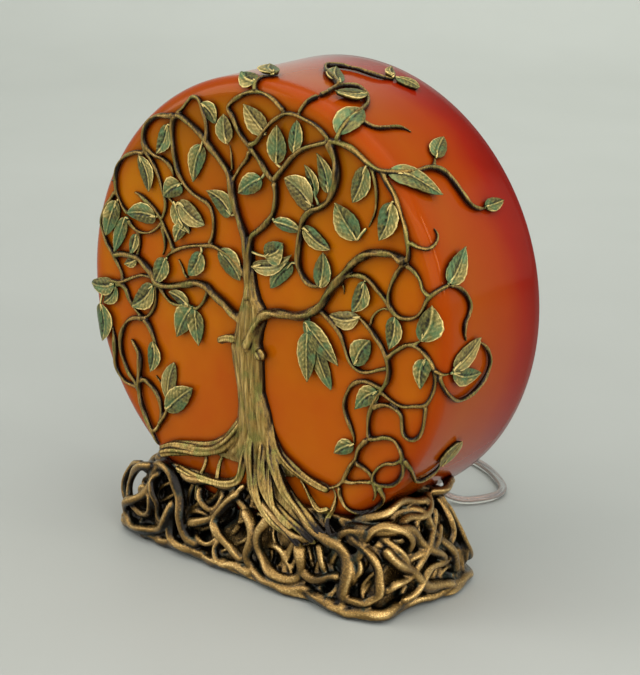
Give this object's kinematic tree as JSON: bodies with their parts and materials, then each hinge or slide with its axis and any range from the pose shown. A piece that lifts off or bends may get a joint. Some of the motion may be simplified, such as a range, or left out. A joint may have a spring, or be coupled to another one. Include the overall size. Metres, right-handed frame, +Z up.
{
  "type": "accent lamp",
  "caption": "Round amber accent lamp with a bronze tree-of-life relief over its face, on a base of sculpted roots, with a clear corded plug and in-line switch.",
  "frame": {"origin": "middle of the felt under the base, on the surface the lamp stands on", "axes": "+Z up, the relief faces -Y, +X to the right seen from the front"},
  "size_m": [0.2349, 0.2175, 0.2491],
  "materials": {
    "amber_shade": "glossy, amber front grading to red at the back of the side",
    "antique_bronze": "antique bronze paint on cast resin, verdigris green in the leaves",
    "dark_bronze": "dark bronze paint on cast resin, gold on the high spots",
    "felt": "felt",
    "cover_board": "matt",
    "steel": "plated",
    "brass": "bright",
    "bulb_glass": "clear",
    "black_plastic": "matt",
    "clear_vinyl": "clear soft vinyl"
  },
  "bodies": {
    "lamp": {"back_cover": "cover_board", "coil_tie": "black_plastic", "cord_coil": "clear_vinyl", "cord_lead": "clear_vinyl", "cord_link": "clear_vinyl", "cord_tail": "clear_vinyl", "cover_screw_1": "steel", "cover_screw_2": "steel", "cover_screw_3": "steel", "crown_branches": "antique_bronze", "felt_sheet": "felt", "plug_blade_line": "brass", "plug_blade_neutral": "brass", "plug_body": "clear_vinyl", "root_base": "dark_bronze", "shade": "amber_shade", "side_sprig": "antique_bronze", "side_sprig_2": "antique_bronze", "side_sprig_3": "antique_bronze", "socket_clip_left": "steel", "socket_clip_right": "steel", "socket_contact": "brass", "socket_shell": "brass", "socket_sleeve": "black_plastic", "strain_relief": "black_plastic", "switch_lower": "clear_vinyl", "switch_screw": "steel", "switch_upper": "clear_vinyl", "trunk": "antique_bronze", "vines_lower_left": "antique_bronze", "vines_lower_right": "antique_bronze", "vines_lower_right_2": "antique_bronze", "vines_lower_right_3": "antique_bronze", "vines_upper_left": "antique_bronze", "vines_upper_right": "antique_bronze", "vines_upper_right_2": "antique_bronze", "vines_upper_right_3": "antique_bronze"},
    "bulb": {"bulb_glass": "bulb_glass", "bulb_base": "brass", "bulb_contact": "brass", "bulb_stem": "bulb_glass"},
    "switch_wheel": {"switch_wheel": "clear_vinyl"}
  },
  "joints": [
    {"name": "bulb_turn", "type": "hinge", "parent": "lamp", "child": "bulb", "pos_m": [0, 0.03, 0.112], "axis": [0, -1, 0], "range_deg": [0, 900]},
    {"name": "switch_turn", "type": "hinge", "parent": "lamp", "child": "switch_wheel", "pos_m": [-0.058, 0.16, 0.0096], "axis": [0, 1, 0], "continuous": true}
  ]
}
